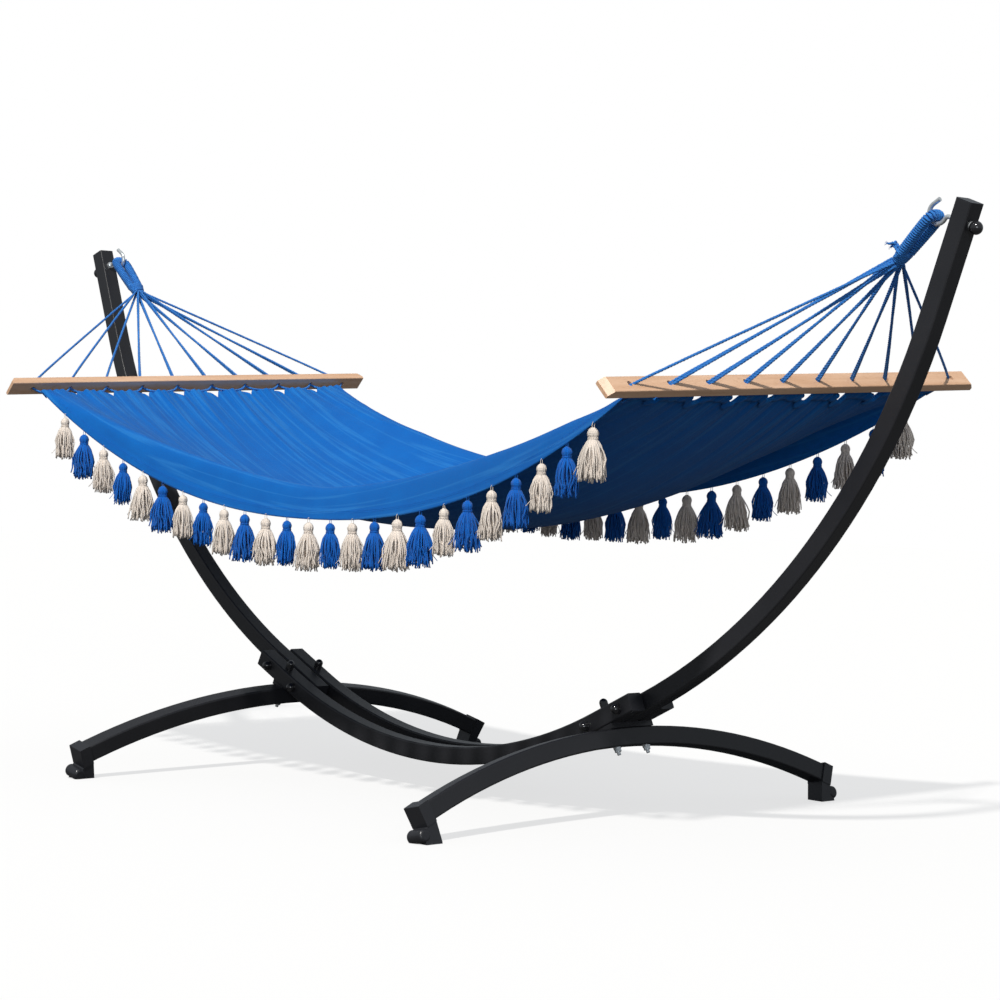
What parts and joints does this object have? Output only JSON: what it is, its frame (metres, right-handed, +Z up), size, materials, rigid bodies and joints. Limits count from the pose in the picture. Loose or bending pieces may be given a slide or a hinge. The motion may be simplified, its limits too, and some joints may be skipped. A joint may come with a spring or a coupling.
{
  "type": "hammock on stand",
  "caption": "Cloth hammock with wooden spreader bars, fanned cords and tasselled sides, hung from hooks on a bowed steel tube stand with arched legs.",
  "frame": {"origin": "on the floor, at the middle of the stand", "axes": "+X along the hammock from one hook to the other, +Y across it, +Z up"},
  "size_m": [2.9292, 1.261, 1.2841],
  "materials": {
    "frame": "satin powder coat",
    "plastic": "moulded, fine grain",
    "cap": "gloss",
    "zinc": "bright zinc plate",
    "wood": "clear satin varnish on light hardwood",
    "cord": "twisted cord",
    "cloth": "plain woven canvas",
    "cream_tassel": "loose cotton strands",
    "blue_tassel": "loose cotton strands"
  },
  "bodies": {
    "stand": {"foot_back_left": "plastic", "foot_back_right": "plastic", "foot_front_left": "plastic", "foot_front_right": "plastic", "hook_ball_caps": "cap", "hook_left": "zinc", "hook_nuts": "zinc", "hook_right": "zinc", "hook_washers": "zinc", "joint_bolt_caps": "cap", "joint_bolts": "zinc", "joint_nuts": "zinc", "joint_spacers": "zinc", "joint_washers": "zinc", "leg_bolt_caps": "cap", "leg_bolts": "zinc", "leg_left": "frame", "leg_nuts": "zinc", "leg_right": "frame", "leg_wedge_washers": "zinc", "rail_back": "frame", "rail_end_caps": "plastic", "rail_front": "frame", "saddle_left": "frame", "saddle_right": "frame", "upright_end_plugs": "plastic", "upright_left": "frame", "upright_right": "frame", "upright_top_caps": "plastic"},
    "hammock": {"bed": "cloth", "cords_left": "cord", "cords_right": "cord", "gather_binding_left": "cord", "gather_binding_right": "cord", "hanging_loop_left": "cord", "hanging_loop_right": "cord", "spreader_bar_left": "wood", "spreader_bar_right": "wood", "tassels_far_blue": "blue_tassel", "tassels_far_cream": "cream_tassel", "tassels_near_blue": "blue_tassel", "tassels_near_cream": "cream_tassel", "tie_knot": "cord"}
  },
  "joints": [
    {"name": "hammock_swing", "type": "hinge", "parent": "stand", "child": "hammock", "pos_m": [0, 0, 1.23906], "axis": [1, 0, 0], "range_deg": [-20, 20]}
  ]
}
